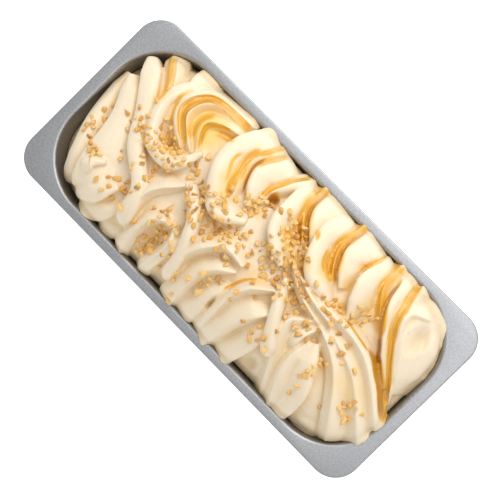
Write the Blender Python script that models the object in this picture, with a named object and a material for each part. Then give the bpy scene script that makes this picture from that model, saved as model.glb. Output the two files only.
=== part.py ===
# A stainless display pan of gelato, heaped well above the rim and worked with a spatula into
# overlapping folds: shingled lobes along the front, deep curls along the back. Chopped nuts lie
# in the hollows. Sizes below are in millimetres, from the middle of the pan's floor;
# MM turns them into Blender's metres. +X runs along the pan, +Y to its back, +Z up.

import math
import random

import bmesh
import bpy
import numpy as np
from mathutils import Vector
from mathutils.bvhtree import BVHTree

MM = 0.001

# The pan: a five-litre gelato pan of thin pressed steel.
PAN_LENGTH = 360.0
PAN_WIDTH = 165.0
PAN_HEIGHT = 120.0
STEEL = 1.0
FLANGE_CORNER = 22.0
# The flange's turned-down edge, from its underside up: how far in, and how far below the top.
FLANGE_EDGE = ((1.8, 1.0), (0.9, 2.6), (0.0, 2.6), (0.2, 0.9), (1.3, 0.0))
OPENING_LENGTH = 337.0
OPENING_WIDTH = 146.0
OPENING_CORNER = 50.0
BEND_RADIUS = 3.0
WALL_TAPER = 5.0
FLOOR_RADIUS = 20.0
CORNER_STEPS = 8
FLOOR_STEPS = 4
BEND_STEPS = 3
STEEL_SHARP_ANGLE = 35

# The gelato's mound: its height at the rim and above it, and how square and how steep-sided it is.
GAP = 0.35
MOUND_EDGE = -5.0
MOUND_RISE = 49.0
MOUND_POWER = 0.6
MOUND_SQUARENESS = 4.7
# The mass under the folds: how far below the mound it stays, where it leaves the wall, how it steps
# in from there (below the rim, and inward), and the shares of its outline that its top rings take.
CORE_BELOW_FOLDS = 8.0
CORE_SHOULDER = 26.0
CORE_STEPS = ((10, 0.5), (5, 3))
CORE_RINGS = (0.92, 0.86, 0.78, 0.66, 0.5, 0.3, 0.1)
LEFT_END_GAP = 12.0
SIDE_GAP = 1.5
TRIM_DEPTH = 70.0
TRIM_REACH = 30.0

# A fold's section: how far its back and its edge fall, how round they are at the crest, how far a
# lip hangs over, and the skirt that joins its back to what is under it. The shares and turns are
# where the section has its points.
FOLD_DEPTH = 20.0
BACK_FALL = 7.0
BACK_CURVE = 1.6
BACK_SHARES = (1.0, 0.75, 0.5, 0.3, 0.15)
FINGER_SHARES = (1.0, 0.97, 0.9, 0.75, 0.5, 0.25)
EDGE_FALL = 9.0
EDGE_CURVE = 0.8
EDGE_SHARES = (0.0, 0.2, 0.4, 0.6, 0.8, 1.0)
LIP_DROP = 3.5
LIP_OVERHANG = 1.2
LIP_TURNS = (0, 25, 50, 70, 90)
SKIRT_WIDTH = {"crest": 1.4, "lip": 1.4, "finger": 1.05}
SKIRT_DROP = 4.0
# Its tip spreads, flattens, narrows by a share and ends in a nose; its root is narrow and sinks in.
TIP_ROUND = 9.0
TIP_SHARE = 0.3
TIP_NARROW = {"crest": 0.75, "lip": 0.85, "finger": 0.98}
TIP_DROP = 6.0
TIP_REACH = 30.0
TIP_SPREAD = 0.3
TIP_FLATTEN = 0.5
ROOT_LENGTH = 14.0
ROOT_WIDTH = 0.5
ROOT_DROP = 5.0

SPINE_STEP = 4.0
SPINE_PARTS = 16
SPINE_LEAST = 6
VOXEL = 1.8
GELATO_TRIANGLES = 6800
GELATO_SHARP_ANGLE = 40
SMOOTHING = 0.5
PRESSED_BELOW_RIM = 8.0

# The nuts: each about a ball, with its corners pushed in or out and its three axes stretched.
NUT_SIZES = (4.8, 7.4)
NUT_CORNERS = (0.8, 1.12)
NUT_STRETCH = ((0.95, 1.3), (0.75, 1.0), (0.65, 0.9))
NUT_RISE = 0.12
NUT_SPACING = 0.55
NUT_HEAP_SPREAD = 0.6
NUT_TRIES = 30
NUT_LOWEST = 3.0
NUT_SEED = 17

STEEL_COLOUR = (0.44, 0.45, 0.47, 1.0)
STEEL_ROUGHNESS = 0.38
GELATO_COLOUR = (0.87, 0.74, 0.52, 1.0)
GELATO_ROUGHNESS = 0.45

# A fold is a tongue of gelato that a spatula has laid over the one before it. Its row says whether
# its edge is a sharp crest with a steep slope, a round lip or, for a finger, round on both sides,
# and on which side of the fold that edge is as one looks along it; how wide its back is at the root
# and at the tip, and how wide its edge; how far it stands over the mound at the root, the middle
# and the tip; and its line, from the root to the tip, with only the points that its bends need.
FOLDS = {
    # The front left, by the end wall.
    "end_sliver": ("lip", "right", (9, 9), 6, (-6, -2, -3), ((-164, 30), (-155, -15), (-135, -65))),
    "broad": ("lip", "right", (13, 18), 5, (2, 3, 4), ((-158, 30), (-140, 0), (-132, -40), (-126, -62))),
    "broad_hem": ("lip", "left", (15, 13), 4, (0, 4, 4), ((-97, -37), (-108, -56), (-124, -65))),
    "knob": ("lip", "left", (5, 5), 5, (4, 9, 8), ((-118, -30), (-127, -38), (-126, -48))),
    "lobe_1": ("lip", "left", (12, 12), 4, (-3, 0, 2), ((-86, -45), (-94, -62), (-114, -76))),
    "lobe_2": ("lip", "left", (10, 9), 4, (-8, -5, -1), ((-75, -50), (-80, -66), (-92, -76))),
    "ridge_1": ("finger", "right", (12, 6), 5, (4, 5, 5),
                ((-158, 50), (-130, 20), (-112, -6), (-86, -26), (-78, -56))),
    "recess_rim": ("crest", "left", (10, 8), 4, (4, 4, 3), ((-60, 0), (-77, -24), (-74, -56))),
    # The front middle.
    "lobe_3": ("crest", "left", (7, 6), 4, (3, 3, 4), ((-44, -26), (-62, -38), (-66, -76))),
    "lobe_4": ("crest", "right", (6, 5), 4, (3, 3, 3), ((-46, -24), (-40, -42), (-48, -74))),
    "lobe_4_lip": ("lip", "left", (7, 6), 3, (2, 2, 2), ((-35, -25), (-36, -46), (-44, -72))),
    "lobe_5": ("crest", "left", (9, 9), 6, (-9, -8, -7), ((-32, -38), (-34, -55), (-36, -70))),
    "ridge_2": ("finger", "right", (8, 4), 4, (4, 6, 5), ((-58, 4), (-38, -15), (-28, -40), (-26, -62))),
    "ridge_2_arm": ("crest", "left", (9, 6), 4, (3, 5, 3), ((12, -12), (-8, -12), (-24, -34), (-22, -60))),
    "lobe_6": ("crest", "left", (10, 9), 4, (1, 2, 4), ((12, -18), (-6, -36), (-10, -78))),
    "lobe_7": ("lip", "left", (9, 9), 4, (-1, 0, 3), ((13, -28), (10, -50), (6, -77))),
    "lobe_8": ("crest", "left", (6, 5), 4, (5, 4, 2), ((42, -6), (23, -27), (19, -76))),
    "lobe_9": ("crest", "left", (14, 10), 4, (3, 4, 5), ((52, -20), (38, -44), (30, -80))),
    "lobe_10": ("lip", "left", (12, 9), 4, (0, 1, 3), ((57, -23), (56, -50), (48, -80))),
    "ridge_3": ("finger", "right", (5, 5), 5, (4, 6, 6), ((40, 6), (54, -20), (70, -46))),
    # The front right.
    "lobe_11": ("crest", "right", (10, 9), 5, (4, 0, -4), ((76, -2), (62, -15), (70, -38), (90, -78))),
    "lobe_11_rim": ("crest", "left", (8, 6), 3, (4, 4, 1), ((86, 0), (80, -14), (79, -30))),
    "lobe_12": ("crest", "right", (12, 8), 5, (2, 4, 4), ((84, -14), (83, -40), (98, -76))),
    "lobe_13": ("lip", "left", (15, 12), 4, (3, 5, 4), ((90, -12), (108, -45), (111, -76))),
    "low_fold_1": ("crest", "right", (8, 8), 6, (-10, -9, -8), ((112, -42), (122, -54), (136, -60))),
    "low_fold_2": ("crest", "right", (8, 8), 6, (-10, -5, -3), ((108, -64), (124, -66), (142, -64))),
    "fan_1": ("crest", "right", (12, 10), 6, (3, 5, 5), ((78, 0), (112, -18), (148, -62))),
    "fan_2": ("crest", "right", (9, 8), 9, (3, 5, 5), ((88, 2), (126, -12), (168, -48))),
    "fan_3": ("crest", "right", (6, 7), 9, (4, 6, 5), ((60, 10), (118, 6), (170, -30))),
    "twist_1": ("crest", "right", (4, 3), 3, (3, 6, 3), ((34, 18), (54, 5), (85, -3))),
    "twist_2": ("crest", "right", (3, 3), 3, (4, 8, 5), ((42, 15), (64, 8), (90, 4))),
    # The back, from the left: the curls, each a high rim round nested bands.
    "back_band": ("crest", "left", (8, 8), 5, (-3, -1, 2), ((-124, 24), (-127, 42), (-148, 64))),
    "back_fold": ("lip", "left", (10, 11), 4, (-2, 2, 3), ((-117, 46), (-115, 58), (-120, 74))),
    "curl_1": ("lip", "left", (6, 6), 6, (2, 6, 3),
               ((-70, 26), (-82, 4), (-106, 8), (-119, 36), (-108, 62))),
    "curl_1_outer": ("crest", "right", (7, 6), 4, (0, 2, 3), ((-84, 17), (-107, 38), (-98, 63), (-58, 68))),
    "curl_1_inner": ("crest", "right", (8, 6), 4, (0, 2, 2), ((-76, 20), (-98, 38), (-92, 58), (-62, 61))),
    "curl_1_heart": ("crest", "right", (8, 6), 4, (-1, 2, 2), ((-74, 24), (-84, 42), (-76, 51), (-58, 56))),
    "curl_2": ("lip", "left", (9, 12), 6, (3, 8, 6), ((-10, 13), (-35, 5), (-56, 40), (-46, 78))),
    "curl_2_band": ("crest", "left", (7, 7), 4, (-3, -1, 3), ((-29, 15), (-41, 45), (-34, 77))),
    "curl_2_lobe": ("lip", "left", (12, 12), 4, (0, 5, 3), ((-18, 22), (-30, 46), (-24, 72))),
    "curl_2_end": ("crest", "left", (5, 5), 6, (0, 3, 4), ((-13, 30), (-12, 46), (1, 74))),
    "curl_3": ("lip", "left", (9, 9), 5, (4, 7, 4), ((31, 9), (6, 28), (4, 68))),
    "curl_3_band": ("crest", "left", (8, 8), 4, (-3, 0, 4), ((31, 29), (14, 50), (10, 78))),
    "curl_3_lobe": ("lip", "left", (14, 16), 4, (0, 5, 4), ((35, 36), (22, 54), (20, 76))),
    "curl_4": ("lip", "left", (9, 9), 5, (4, 8, 6), ((74, 15), (48, 22), (36, 48), (42, 72))),
    "curl_4_band": ("crest", "left", (8, 8), 4, (-3, 0, 4), ((66, 24), (51, 48), (52, 79))),
    "curl_4_lobe": ("lip", "left", (13, 14), 4, (0, 5, 4), ((73, 28), (59, 50), (61, 77))),
    "curl_5": ("lip", "left", (11, 10), 4, (2, 8, 4), ((92, 16), (80, 45), (85, 72))),
    "curl_5_band": ("crest", "left", (9, 8), 4, (-3, 2, 5), ((120, 22), (95, 50), (94, 77))),
    "curl_5_ridge": ("lip", "left", (8, 8), 3, (-2, 4, 5), ((150, -2), (112, 38), (103, 75))),
    "curl_5_tail": ("crest", "left", (7, 7), 4, (-3, 3, 5), ((162, -9), (122, 38), (116, 76))),
    "end_lobe": ("lip", "left", (26, 20), 6, (-2, 4, 4), ((158, 0), (132, 38), (133, 73))),
    "end_lobe_rim": ("lip", "right", (16, 12), 6, (-2, 2, 2), ((159, 8), (154, 44), (130, 70))),
    "end_lobe_fold": ("crest", "right", (9, 7), 5, (3, 9, 8), ((132, 26), (123, 50), (140, 60))),
}

# Hollows pressed into the finished mound: middle, half-lengths along X and Y, and depth.
HOLLOWS = {
    "front_recess": ((-52, -46), (8, 19), 7),
    "slit": ((13, -48), (2.5, 9), 9),
    "lip_shadow": ((66, -60), (7, 9), 6),
    "curl_hole": ((-8, 38), (6, 6), 8),
    "end_hollow": ((141, 42), (11, 17), 7),
    "caramel_pool": ((-30, 9), (8, 4), 4),
}

# Where the nuts have gathered: the middle of each heap, its spread along X and Y, and how many.
NUT_HEAPS = {
    "left_end": ((-150, -10), (6, 14), 4),
    "broad": ((-131, -30), (4, 3), 2),
    "ridge_1": ((-122, 8), (9, 11), 3),
    "ridge_1_foot": ((-98, -12), (14, 14), 5),
    "broad_hem": ((-95, -42), (14, 5), 3),
    "curl_1_mouth": ((-94, 10), (11, 6), 11),
    "between_curls": ((-66, 14), (6, 8), 2),
    "ridge_2_root": ((-50, 2), (6, 6), 5),
    "middle": ((-22, -5), (14, 8), 14),
    "curl_2_foot": ((-34, 14), (4, 4), 3),
    "curl_2_mouth": ((-14, 27), (5, 5), 4),
    "recess": ((-52, -32), (6, 5), 5),
    "recess_foot": ((-54, -54), (5, 6), 4),
    "lobe_4": ((-34, -42), (3, 8), 1),
    "ridge_2_foot": ((-18, -54), (14, 12), 2),
    "lobe_6": ((6, -34), (14, 12), 3),
    "curl_3_inside": ((30, 24), (9, 8), 7),
    "curl_3_foot": ((26, 8), (11, 6), 6),
    "twist": ((48, 2), (10, 8), 5),
    "twist_end": ((82, 14), (10, 5), 4),
    "lobe_11": ((70, -12), (12, 5), 2),
    "ridge_3": ((54, -36), (6, 10), 2),
    "lobe_13": ((100, -30), (3, 9), 3),
    "fan": ((138, -32), (9, 8), 3),
    "fan_top": ((112, -3), (12, 4), 2),
    "curl_5_foot": ((102, 26), (7, 6), 3),
}


def clear_scene():
    for thing in list(bpy.data.objects):
        bpy.data.objects.remove(thing, do_unlink=True)


def make_material(name, colour, roughness, metallic):
    material = bpy.data.materials.new(name)
    material.use_nodes = True
    shader = material.node_tree.nodes["Principled BSDF"]
    shader.inputs["Base Color"].default_value = colour
    shader.inputs["Roughness"].default_value = roughness
    shader.inputs["Metallic"].default_value = metallic
    return material


def add_object(name, mesh_data, material=None):
    thing = bpy.data.objects.new(name, mesh_data)
    bpy.context.scene.collection.objects.link(thing)
    if material:
        mesh_data.materials.append(material)
    return thing


def mesh_from(name, points, faces):
    """A mesh whose faces point out, from points in millimetres over the pan's floor."""
    mesh_data = bpy.data.meshes.new(name)
    mesh_data.from_pydata([Vector(point) * MM for point in points], [], faces)
    shape = bmesh.new()
    shape.from_mesh(mesh_data)
    bmesh.ops.recalc_face_normals(shape, faces=shape.faces)
    shape.to_mesh(mesh_data)
    shape.free()
    return mesh_data


def loft(rings):
    """Joins rings of equal length, one after another, and closes both ends."""
    count = len(rings[0])
    points = [point for ring in rings for point in ring]
    faces = []
    for ring in range(len(rings) - 1):
        for step in range(count):
            here = ring * count + step
            beside = ring * count + (step + 1) % count
            faces.append((here, beside, beside + count, here + count))
    faces.append(tuple(range(count)))
    faces.append(tuple(range(len(points) - count, len(points))))
    return points, faces


def rounded_outline(half_length, half_width, corner, height, shift=0.0):
    """A rectangle with round corners, level, counterclockwise from +X."""
    points = []
    for quarter in range(4):
        along = 1 if quarter in (0, 3) else -1
        across = 1 if quarter in (0, 1) else -1
        for step in range(CORNER_STEPS + 1):
            angle = math.radians(90 * (quarter + step / CORNER_STEPS))
            points.append((shift + along * (half_length - corner) + corner * math.cos(angle),
                           across * (half_width - corner) + corner * math.sin(angle), height))
    return points


def wall_outline(height, offset, inward=0.0):
    """The pan's inner wall at a height under the bend, moved out by offset and then in again."""
    down = (PAN_HEIGHT - BEND_RADIUS - height) / (PAN_HEIGHT - BEND_RADIUS)
    inset = WALL_TAPER * down - offset + inward
    return rounded_outline(OPENING_LENGTH / 2 - inset, OPENING_WIDTH / 2 - inset,
                           OPENING_CORNER - inset, height)


def floor_rings(offset, floor):
    """Rings of the pan's inside from the floor up to where its round meets the tapered wall."""
    radius = FLOOR_RADIUS + offset
    rings = []
    for step in range(FLOOR_STEPS + 1):
        angle = math.radians(90 * step / FLOOR_STEPS)
        height = floor + radius * (1 - math.cos(angle))
        rings.append(wall_outline(height, offset, radius * (1 - math.sin(angle))))
    return rings


def grown_opening(out, height):
    """The opening's outline, moved out, at a height."""
    return rounded_outline(OPENING_LENGTH / 2 + out, OPENING_WIDTH / 2 + out,
                           OPENING_CORNER + out, height)


def bend_rings(grow=0.0):
    """Over the bend from the flange's top down to the wall, grown by a gap."""
    rings = []
    for step in range(BEND_STEPS + 1):
        angle = math.radians(90 * step / BEND_STEPS)
        out = BEND_RADIUS - (BEND_RADIUS + grow) * math.sin(angle)
        drop = BEND_RADIUS - (BEND_RADIUS + grow) * math.cos(angle)
        rings.append(grown_opening(out, PAN_HEIGHT - drop))
    return rings


def build_pan():
    """One skin of steel: outside up to the rolled flange, over it, and down the inside."""
    rings = floor_rings(STEEL, 0.0)
    rings.append(wall_outline(PAN_HEIGHT - BEND_RADIUS - STEEL, STEEL))
    rings.append(grown_opening(BEND_RADIUS, PAN_HEIGHT - STEEL))
    for inset, drop in FLANGE_EDGE:
        rings.append(rounded_outline(PAN_LENGTH / 2 - inset, PAN_WIDTH / 2 - inset, FLANGE_CORNER - inset,
                                     PAN_HEIGHT - drop))
    rings += bend_rings()
    rings += reversed(floor_rings(0.0, STEEL))
    points, faces = loft(rings)
    steel = make_material("pressed_steel", STEEL_COLOUR, STEEL_ROUGHNESS, 1.0)
    pan = add_object("pan", mesh_from("pan", points, faces), steel)
    pan.data.shade_smooth()
    pan.data.set_sharp_from_angle(angle=math.radians(STEEL_SHARP_ANGLE))
    return pan


def mound_height(x, y):
    """How high the mound stands over the pan's floor, before the folds."""
    along = abs(x) / (OPENING_LENGTH / 2)
    across = abs(y) / (OPENING_WIDTH / 2)
    reach = (along ** MOUND_SQUARENESS + across ** MOUND_SQUARENESS) ** (1 / MOUND_SQUARENESS)
    rise = max(1 - reach * reach, 0.0) ** MOUND_POWER
    return PAN_HEIGHT + MOUND_EDGE + MOUND_RISE * rise


def core_mesh():
    """The plain mass under the folds: it fills the pan and narrows a little under the rim."""
    rings = floor_rings(-GAP, STEEL + GAP) + [wall_outline(PAN_HEIGHT - CORE_SHOULDER, -GAP)]
    half_length = (OPENING_LENGTH - LEFT_END_GAP - SIDE_GAP) / 2
    half_width = OPENING_WIDTH / 2 - SIDE_GAP
    shift = (LEFT_END_GAP - SIDE_GAP) / 2
    for below, inset in CORE_STEPS:
        rings.append(rounded_outline(half_length - inset, half_width - inset, OPENING_CORNER - inset,
                                     PAN_HEIGHT - below, shift))
    outline = rounded_outline(half_length, half_width, OPENING_CORNER, 0, shift)
    for share in CORE_RINGS:
        rings.append([(x * share, y * share, mound_height(x * share, y * share) - CORE_BELOW_FOLDS)
                      for x, y, _ in outline])
    return mesh_from("core", *loft(rings))


def smooth_line(points, step):
    """Even steps along a curve through the points."""
    ends = [2 * Vector(points[0]) - Vector(points[1])]
    knots = ends + [Vector(point) for point in points] + [2 * Vector(points[-1]) - Vector(points[-2])]
    dense = []
    for a, b, c, d in zip(knots, knots[1:], knots[2:], knots[3:]):
        for part in range(SPINE_PARTS):
            t = part / SPINE_PARTS
            dense.append(0.5 * (2 * b + (c - a) * t + (2 * a - 5 * b + 4 * c - d) * t * t
                                + (3 * b - 3 * c + d - a) * t ** 3))
    dense.append(knots[-2])
    lengths = np.cumsum([0.0] + [(b - a).length for a, b in zip(dense, dense[1:])])
    count = max(SPINE_LEAST, round(lengths[-1] / step))
    marks = np.linspace(0, lengths[-1], count + 1)
    along = [np.interp(marks, lengths, [point[axis] for point in dense]) for axis in (0, 1)]
    return [Vector(pair) for pair in zip(*along)], marks


def fold_section(kind, back, edge, fall):
    """Across a fold: offset towards its edge, and height under its crest."""
    gentle = [(-back * share, -fall * share ** BACK_CURVE) for share in BACK_SHARES]
    if kind == "finger":
        gentle = [(-back * share, -fall * (1 - math.sqrt(1 - share * share))) for share in FINGER_SHARES]
    if kind == "crest":
        steep = [(edge * share, -EDGE_FALL * share ** EDGE_CURVE) for share in EDGE_SHARES]
    else:
        steep = [(edge * math.sin(math.radians(turn)), -LIP_DROP * (1 - math.cos(math.radians(turn))))
                 for turn in LIP_TURNS]
        steep.append((edge - LIP_OVERHANG, -EDGE_FALL))
    return [(-SKIRT_WIDTH[kind] * back, -fall - SKIRT_DROP)] + gentle + steep


def fold_mesh(name, row, step):
    """Sweeps a fold's section along its line, sinking in at the root and round at the tip."""
    kind, side, backs, edge, lifts, line = row
    spine, marks = smooth_line(line, step)
    length = marks[-1]
    toward = 1 if side == "left" else -1
    crest = np.interp(marks / length, (0, 0.5, 1), lifts)
    back = np.interp(marks / length, (0, 1), backs)
    nose = min(TIP_ROUND, length * TIP_SHARE)
    rings = []
    for index, middle in enumerate(spine):
        ahead = spine[min(index + 1, len(spine) - 1)] - spine[max(index - 1, 0)]
        across = Vector((-ahead.y, ahead.x)).normalized() * toward
        left = length - marks[index]
        near_tip = max(1 - left / TIP_REACH, 0.0)
        bend = max(1 - left / nose, 0.0)
        rounding = math.sqrt(1 - (TIP_NARROW[kind] * bend) ** 2)
        begin = ROOT_WIDTH + (1 - ROOT_WIDTH) * min(marks[index] / ROOT_LENGTH, 1.0)
        width = rounding * begin * (1 + TIP_SPREAD * near_tip)
        fall = BACK_FALL * (1 - TIP_FLATTEN * near_tip)
        drop = TIP_DROP * bend * bend + ROOT_DROP * (1 - begin)
        ring = []
        for offset, height in fold_section(kind, back[index], edge, fall):
            spot = middle + across * (offset * width)
            ground = max(mound_height(spot.x, spot.y), PAN_HEIGHT)
            ring.append((spot.x, spot.y, ground + crest[index] + height - drop))
        low = min(point[2] for point in ring) - FOLD_DEPTH
        ring.append((ring[-1][0], ring[-1][1], low))
        ring.append((ring[0][0], ring[0][1], low))
        rings.append(ring)
    return mesh_from(name, *loft(rings))


def pan_space_mesh():
    """What the gelato keeps out of: the wall and the flange, grown by the gap."""
    deep = PAN_HEIGHT - TRIM_DEPTH
    low_wall = wall_outline(deep, -GAP)
    rings = [low_wall] + bend_rings(GAP)[::-1]
    rings.append(grown_opening(TRIM_REACH, PAN_HEIGHT + GAP))
    rings.append(grown_opening(TRIM_REACH, deep))
    points, faces = loft(rings + [low_wall])
    return mesh_from("pan_space", *close_ring(points, faces, len(low_wall)))


def close_ring(points, faces, count):
    """Turns a loft that ends where it began into a closed ring, without its two caps."""
    last = len(points) - count
    wrapped = [tuple(index - last if index >= last else index for index in face) for face in faces[:-2]]
    return points[:last], wrapped


def apply_modifier(thing, kind, **settings):
    modifier = thing.modifiers.new(kind.lower(), kind)
    for setting, value in settings.items():
        setattr(modifier, setting, value)
    graph = bpy.context.evaluated_depsgraph_get()
    result = bpy.data.meshes.new_from_object(thing.evaluated_get(graph))
    thing.modifiers.clear()
    old = thing.data
    thing.data = result
    bpy.data.meshes.remove(old)


def keep_largest_shell(mesh_data):
    """Drops every loose scrap and sealed hollow."""
    shape = bmesh.new()
    shape.from_mesh(mesh_data)
    unseen = set(shape.verts)
    shells = []
    while unseen:
        stack = [unseen.pop()]
        shell = list(stack)
        while stack:
            for edge in stack.pop().link_edges:
                for vert in edge.verts:
                    if vert in unseen:
                        unseen.remove(vert)
                        stack.append(vert)
                        shell.append(vert)
        shells.append(shell)
    shells.sort(key=len)
    for shell in shells[:-1]:
        bmesh.ops.delete(shape, geom=shell, context="VERTS")
    shape.to_mesh(mesh_data)
    shape.free()


def join_meshes(name, meshes):
    """One mesh of several, their shells left as they are."""
    shape = bmesh.new()
    for mesh_data in meshes:
        shape.from_mesh(mesh_data)
    joined = bpy.data.meshes.new(name)
    shape.to_mesh(joined)
    shape.free()
    for mesh_data in meshes:
        bpy.data.meshes.remove(mesh_data)
    return joined


def press_hollows(mesh_data, above):
    """Moves the surface down inside each hollow, fading out to its rim."""
    for (x0, y0), (long_half, wide_half), depth in HOLLOWS.values():
        for vert in mesh_data.vertices:
            x, y, z = vert.co / MM
            reach = math.hypot((x - x0) / long_half, (y - y0) / wide_half)
            if reach < 1 and z > above:
                vert.co.z -= depth * (1 - reach * reach) ** 2 * MM


def nut_mesh(name, size, rng):
    """A chopped piece: twelve corners pushed about until it is angular."""
    shape = bmesh.new()
    bmesh.ops.create_icosphere(shape, subdivisions=1, radius=size / 2)
    stretch = [rng.uniform(*limits) for limits in NUT_STRETCH]
    for vert in shape.verts:
        vert.co *= rng.uniform(*NUT_CORNERS)
        vert.co = Vector(a * b for a, b in zip(vert.co, stretch))
    mesh_data = bpy.data.meshes.new(name)
    shape.to_mesh(mesh_data)
    shape.free()
    return mesh_data


def scatter_nuts(gelato):
    """Lays the nuts on the mound, each sunk a little, and returns them as loose objects."""
    rng = random.Random(NUT_SEED)
    surface = BVHTree.FromPolygons([vert.co for vert in gelato.data.vertices],
                                   [face.vertices for face in gelato.data.polygons])
    placed = []
    nuts = bpy.data.collections.new("nuts")
    bpy.context.scene.collection.children.link(nuts)
    for (x0, y0), (long_spread, wide_spread), count in NUT_HEAPS.values():
        for _ in range(count):
            size = rng.uniform(*NUT_SIZES)
            for _ in range(NUT_TRIES):
                x = rng.gauss(x0, NUT_HEAP_SPREAD * long_spread)
                y = rng.gauss(y0, NUT_HEAP_SPREAD * wide_spread)
                if all(math.hypot(x - a, y - b) > NUT_SPACING * (size + other) for a, b, other in placed):
                    break
            else:
                continue
            above = Vector((x, y, 2 * PAN_HEIGHT)) * MM
            hit, normal, _, _ = surface.ray_cast(above, Vector((0, 0, -1)))
            if hit is None or hit.z < (PAN_HEIGHT + NUT_LOWEST) * MM:
                continue
            placed.append((x, y, size))
            nut = bpy.data.objects.new(f"nut_{len(placed)}", nut_mesh("nut", size * MM, rng))
            nut.location = hit + normal * size * NUT_RISE * MM
            nut.rotation_euler = [rng.uniform(0, math.tau) for _ in range(3)]
            nuts.objects.link(nut)
    return nuts


def fuse_nuts(gelato, nuts):
    """One union of the mound with all the nuts, whose loose objects then go."""
    apply_modifier(gelato, "BOOLEAN", operation="UNION", operand_type="COLLECTION", collection=nuts,
                   solver="MANIFOLD")
    for nut in list(nuts.objects):
        bpy.data.objects.remove(nut, do_unlink=True)
    bpy.data.collections.remove(nuts)


def build_gelato():
    cream = make_material("gelato_cream", GELATO_COLOUR, GELATO_ROUGHNESS, 0.0)
    meshes = [core_mesh()] + [fold_mesh(name, row, SPINE_STEP) for name, row in FOLDS.items()]
    gelato = add_object("gelato", join_meshes("gelato", meshes))
    apply_modifier(gelato, "REMESH", mode="VOXEL", voxel_size=VOXEL * MM)
    keep_largest_shell(gelato.data)
    press_hollows(gelato.data, PAN_HEIGHT - PRESSED_BELOW_RIM)
    apply_modifier(gelato, "SMOOTH", factor=SMOOTHING, iterations=1)
    full = sum(len(face.vertices) - 2 for face in gelato.data.polygons)
    apply_modifier(gelato, "DECIMATE", ratio=GELATO_TRIANGLES / full, use_collapse_triangulate=True)
    pan_space = add_object("pan_space", pan_space_mesh())
    bpy.context.view_layer.update()
    apply_modifier(gelato, "BOOLEAN", operation="DIFFERENCE", object=pan_space, solver="MANIFOLD")
    bpy.data.objects.remove(pan_space, do_unlink=True)
    keep_largest_shell(gelato.data)
    fuse_nuts(gelato, scatter_nuts(gelato))
    keep_largest_shell(gelato.data)
    gelato.data.materials.clear()
    gelato.data.materials.append(cream)
    gelato.data.shade_smooth()
    gelato.data.set_sharp_from_angle(angle=math.radians(GELATO_SHARP_ANGLE))
    return gelato


def main():
    clear_scene()
    build_pan()
    build_gelato()


main()
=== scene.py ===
# A stainless display pan, heaped with cream gelato that a spatula has worked into folds, with
# caramel in the curls and chopped nuts in the hollows. Sizes are in millimetres from the middle of
# the pan's floor, +X along the pan, +Y to its back, +Z up; mm turns them into metres.

import math
import random

import bmesh
import bpy
import numpy as np
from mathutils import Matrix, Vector, noise
from mathutils.bvhtree import BVHTree


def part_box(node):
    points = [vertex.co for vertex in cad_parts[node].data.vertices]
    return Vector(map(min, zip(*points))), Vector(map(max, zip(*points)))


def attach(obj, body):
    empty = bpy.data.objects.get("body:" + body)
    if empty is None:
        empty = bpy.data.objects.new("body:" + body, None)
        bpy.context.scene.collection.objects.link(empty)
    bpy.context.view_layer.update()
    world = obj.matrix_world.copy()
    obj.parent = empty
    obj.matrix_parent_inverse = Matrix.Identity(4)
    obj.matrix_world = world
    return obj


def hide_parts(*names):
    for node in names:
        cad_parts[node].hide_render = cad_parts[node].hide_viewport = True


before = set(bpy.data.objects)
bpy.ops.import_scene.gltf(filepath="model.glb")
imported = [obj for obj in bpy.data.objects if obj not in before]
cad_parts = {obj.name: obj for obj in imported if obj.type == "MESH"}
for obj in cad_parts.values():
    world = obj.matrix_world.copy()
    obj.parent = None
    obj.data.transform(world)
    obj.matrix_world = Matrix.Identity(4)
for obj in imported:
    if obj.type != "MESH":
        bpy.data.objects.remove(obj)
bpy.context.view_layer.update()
mm = 0.001


# Materials

class Wire:
    # One output of a node. Sums on it add Math nodes to the same material.
    def __init__(self, finish, socket):
        self.finish = finish
        self.socket = socket

    def maths(self, operation, first, second):
        return self.finish.node("Math", {"operation": operation}, {0: first, 1: second})

    def __add__(self, other):
        return self.maths("ADD", self, other)

    def __sub__(self, other):
        return self.maths("SUBTRACT", self, other)

    def __rsub__(self, other):
        return self.maths("SUBTRACT", other, self)

    def __mul__(self, other):
        return self.maths("MULTIPLY", self, other)

    __radd__ = __add__
    __rmul__ = __mul__


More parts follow.
